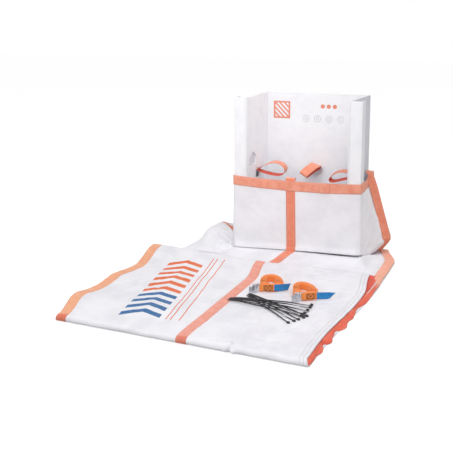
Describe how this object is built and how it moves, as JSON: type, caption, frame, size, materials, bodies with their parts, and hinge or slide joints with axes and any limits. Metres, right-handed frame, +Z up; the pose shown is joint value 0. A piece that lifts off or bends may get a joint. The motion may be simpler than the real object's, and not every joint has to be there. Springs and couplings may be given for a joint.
{
  "type": "rubble chute",
  "caption": "Textile rubble chute: a folding board hopper in a sewn bag with carrying loops, its flattened chute tube, and coiled cam-buckle straps and cable ties laid on it.",
  "frame": {"origin": "on the floor under the middle of the hopper's front", "axes": "+X to the right along the hopper's front, +Y from the front to the rear of the hopper (the chute lies towards -Y), +Z up"},
  "size_m": [1.002, 1.4262, 0.6865],
  "materials": {
    "white_fabric": "woven polypropylene cloth",
    "board": "twin-wall board",
    "orange_webbing": "woven webbing",
    "strap_webbing": "woven strap",
    "blue_webbing": "woven strap",
    "steel": "zinc plated",
    "black_nylon": "moulded nylon"
  },
  "bodies": {
    "chute": {"back_panel": "board", "left_side_panel": "board", "right_side_panel": "board", "bag_front_wall": "white_fabric", "bag_right_wall": "white_fabric", "bag_left_wall": "white_fabric", "bag_rear_wall": "white_fabric", "hem_band": "orange_webbing", "front_band": "orange_webbing", "right_band": "orange_webbing", "left_band": "orange_webbing", "rear_band": "orange_webbing", "chute_tube": "white_fabric", "chute_slack": "white_fabric", "chute_left_band": "orange_webbing", "chute_rear_band": "orange_webbing", "chute_right_band": "orange_webbing"},
    "left_flap": {"left_flap": "board"},
    "right_flap": {"right_flap": "board"},
    "left_return": {"left_return": "board"},
    "right_return": {"right_return": "board"},
    "left_loop": {"left_loop": "orange_webbing"},
    "rear_loop": {"rear_loop": "orange_webbing"},
    "right_loop": {"right_loop": "orange_webbing"},
    "first_strap": {"first_strap_coil": "strap_webbing", "first_strap_end": "strap_webbing", "first_strap_tail": "blue_webbing", "first_buckle_frame": "steel", "first_buckle_pin": "steel", "first_cam_spring": "steel"},
    "first_lever": {"first_cam_lever": "steel"},
    "second_strap": {"second_strap_coil": "strap_webbing", "second_strap_end": "strap_webbing", "second_strap_tail": "blue_webbing", "second_buckle_frame": "steel", "second_buckle_pin": "steel", "second_cam_spring": "steel"},
    "second_lever": {"second_cam_lever": "steel"},
    "ties": {"cable_ties": "black_nylon"}
  },
  "joints": [
    {"name": "right_flap_fold", "type": "hinge", "parent": "chute", "child": "right_flap", "pos_m": [0.2285, 0.005, 0.35], "axis": [0, 0, 1], "range_deg": [0, 70]},
    {"name": "right_return_fold", "type": "hinge", "parent": "right_flap", "child": "right_return", "pos_m": [0.279, 0.00525, 0.35], "axis": [0, 0, 1], "range_deg": [-70, 0]},
    {"name": "left_flap_fold", "type": "hinge", "parent": "chute", "child": "left_flap", "pos_m": [-0.2285, 0.005, 0.35], "axis": [0, 0, -1], "range_deg": [0, 70]},
    {"name": "left_return_fold", "type": "hinge", "parent": "left_flap", "child": "left_return", "pos_m": [-0.279, 0.00525, 0.35], "axis": [0, 0, -1], "range_deg": [-70, 0]},
    {"name": "left_loop_swing", "type": "hinge", "parent": "chute", "child": "left_loop", "pos_m": [-0.23287, 0.17, 0.342], "axis": [0, 1, 0], "range_deg": [-15, 15], "stiffness_Nm_per_rad": 0.3},
    {"name": "rear_loop_swing", "type": "hinge", "parent": "chute", "child": "rear_loop", "pos_m": [0, 0.3205, 0.342], "axis": [1, 0, 0], "range_deg": [-15, 15], "stiffness_Nm_per_rad": 0.3},
    {"name": "right_loop_swing", "type": "hinge", "parent": "chute", "child": "right_loop", "pos_m": [0.23287, 0.17, 0.342], "axis": [0, 1, 0], "range_deg": [-15, 15], "stiffness_Nm_per_rad": 0.3},
    {"name": "first_strap_lift", "type": "slide", "parent": "chute", "child": "first_strap", "axis": [0, 0, 1], "range_m": [0, 0.12]},
    {"name": "first_cam_turn", "type": "hinge", "parent": "first_strap", "child": "first_lever", "pos_m": [0.01911, -0.54739, 0.04], "axis": [0, 0, 1], "range_deg": [0, 60], "stiffness_Nm_per_rad": 0.08, "springref_deg": -17.19},
    {"name": "second_strap_lift", "type": "slide", "parent": "chute", "child": "second_strap", "axis": [0, 0, 1], "range_m": [0, 0.12]},
    {"name": "second_cam_turn", "type": "hinge", "parent": "second_strap", "child": "second_lever", "pos_m": [0.19112, -0.57964, 0.04], "axis": [0, 0, 1], "range_deg": [0, 60], "stiffness_Nm_per_rad": 0.08, "springref_deg": -17.19},
    {"name": "ties_lift", "type": "slide", "parent": "chute", "child": "ties", "axis": [0, 0, 1], "range_m": [0, 0.12]}
  ],
  "couplings": [
    {"joint": "right_return_fold", "follows": "right_flap_fold", "ratio": -1},
    {"joint": "left_return_fold", "follows": "left_flap_fold", "ratio": -1}
  ]
}
